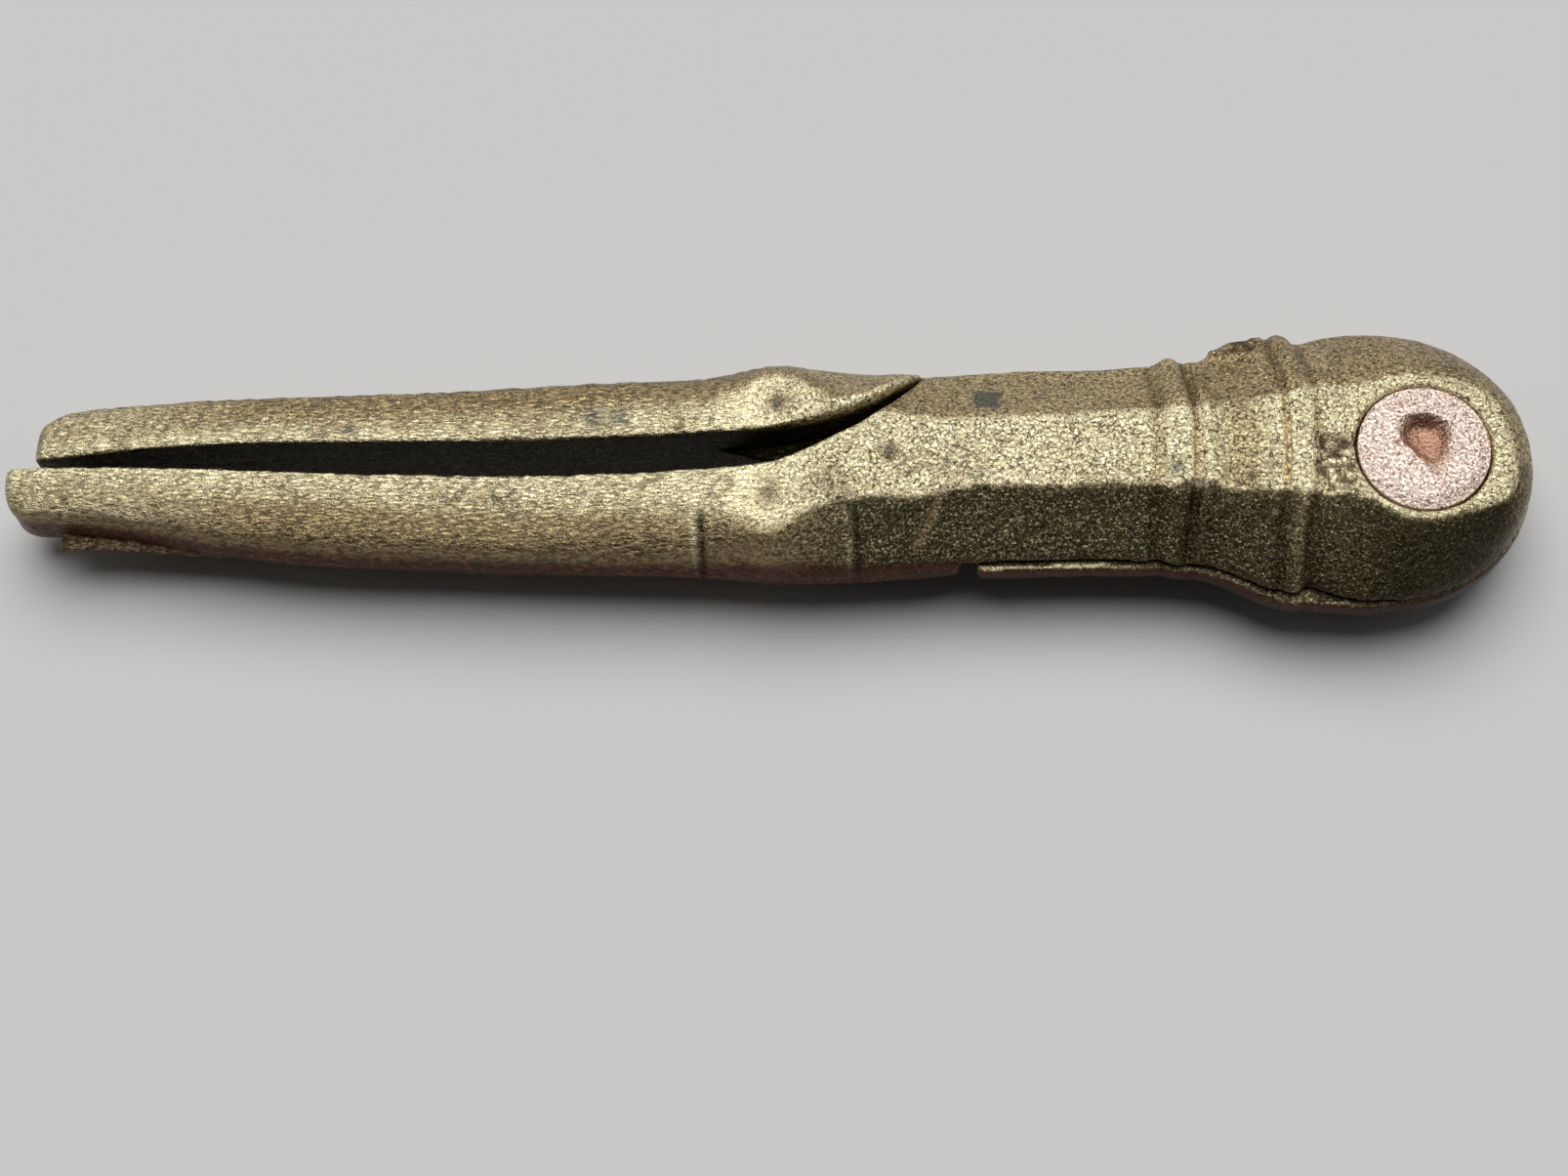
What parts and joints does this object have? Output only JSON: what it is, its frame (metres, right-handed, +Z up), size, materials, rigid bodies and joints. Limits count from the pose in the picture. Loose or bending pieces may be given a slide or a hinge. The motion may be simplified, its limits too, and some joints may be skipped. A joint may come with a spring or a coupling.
{
  "type": "nutcracker",
  "caption": "Hand nutcracker of cast brass: plain tapering levers half-lapped at a round head and turning on a flush copper rivet.",
  "frame": {"origin": "centre of the rivet's lower face, on the hinge axis, in the plane the closed nutcracker lies on", "axes": "+X from the handles towards the round head, +Z up along the hinge axis, near lever on -Y, far lever on +Y"},
  "size_m": [0.13, 0.026, 0.0124],
  "materials": {
    "cast_brass": "sand-cast, patinated, dull satin",
    "copper": "hammered copper, satin"
  },
  "bodies": {
    "lower": {"lower_lever": "cast_brass", "pivot_rivet": "copper"},
    "upper": {"upper_lever": "cast_brass"}
  },
  "joints": [
    {"name": "rivet_hinge", "type": "hinge", "parent": "lower", "child": "upper", "pos_m": [0, 0, 0.0062], "axis": [0, 0, 1], "range_deg": [0, 180]}
  ]
}
